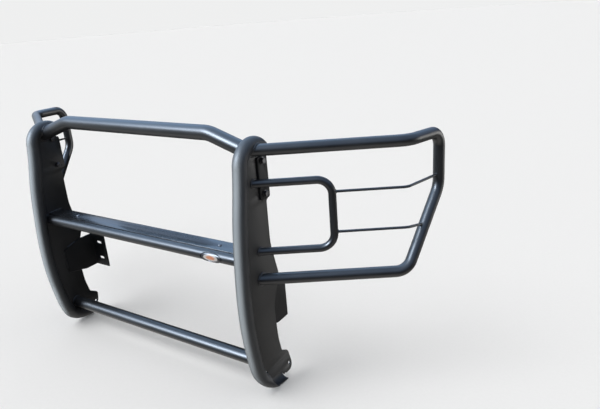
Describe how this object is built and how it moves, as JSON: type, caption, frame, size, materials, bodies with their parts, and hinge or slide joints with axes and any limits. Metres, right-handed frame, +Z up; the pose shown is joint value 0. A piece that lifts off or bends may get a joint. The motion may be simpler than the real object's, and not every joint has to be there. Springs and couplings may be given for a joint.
{
  "type": "front grille guard",
  "caption": "Tubular front grille guard with plate uprights edged in wrap tube, trapezoid top tube, flat step, bottom tube and swept-back headlamp wings.",
  "frame": {"origin": "on the middle plane between the uprights, at the bottom centre of the bounding box, with the guard upright as fitted", "axes": "+X to the viewer's right when facing the guard from the front (the vehicle's left-hand side), +Y rearward into the vehicle so that the guard's front faces -Y, +Z up"},
  "size_m": [1.8676, 0.538, 0.8834],
  "materials": {
    "powder_coat": "semi-gloss black powder coat with a fine orange-peel texture",
    "bracket_coat": "satin black powder coat",
    "fasteners": "black zinc plated steel, slightly worn",
    "badge_rim": "gloss black",
    "badge_plain": "plain orange oval with no lettering, under a clear dome"
  },
  "bodies": {
    "root": {"top_crossbar": "powder_coat", "step_crossbar": "powder_coat", "bottom_crossbar": "powder_coat", "step_plate": "powder_coat", "upright_plate_left": "powder_coat", "upright_plate_right": "powder_coat", "wrap_tube_left": "powder_coat", "wrap_tube_right": "powder_coat", "wing_outer_tube_left": "powder_coat", "wing_outer_tube_right": "powder_coat", "wing_inner_tube_left": "powder_coat", "wing_inner_tube_right": "powder_coat", "wing_rod_upper_left": "powder_coat", "wing_rod_upper_right": "powder_coat", "wing_rod_lower_left": "powder_coat", "wing_rod_lower_right": "powder_coat", "wing_tab_left": "bracket_coat", "wing_tab_right": "bracket_coat", "frame_bracket_left": "bracket_coat", "frame_bracket_right": "bracket_coat", "bolt_upper_left": "fasteners", "bolt_upper_right": "fasteners", "bolt_lower_left": "fasteners", "bolt_lower_right": "fasteners", "washer_upper_left": "fasteners", "washer_upper_right": "fasteners", "washer_lower_left": "fasteners", "washer_lower_right": "fasteners", "nut_upper_left": "fasteners", "nut_upper_right": "fasteners", "nut_lower_left": "fasteners", "nut_lower_right": "fasteners", "step_screw_left": "fasteners", "step_screw_right": "fasteners", "badge_bezel": "badge_rim", "badge_face": "badge_plain"}
  },
  "joints": []
}
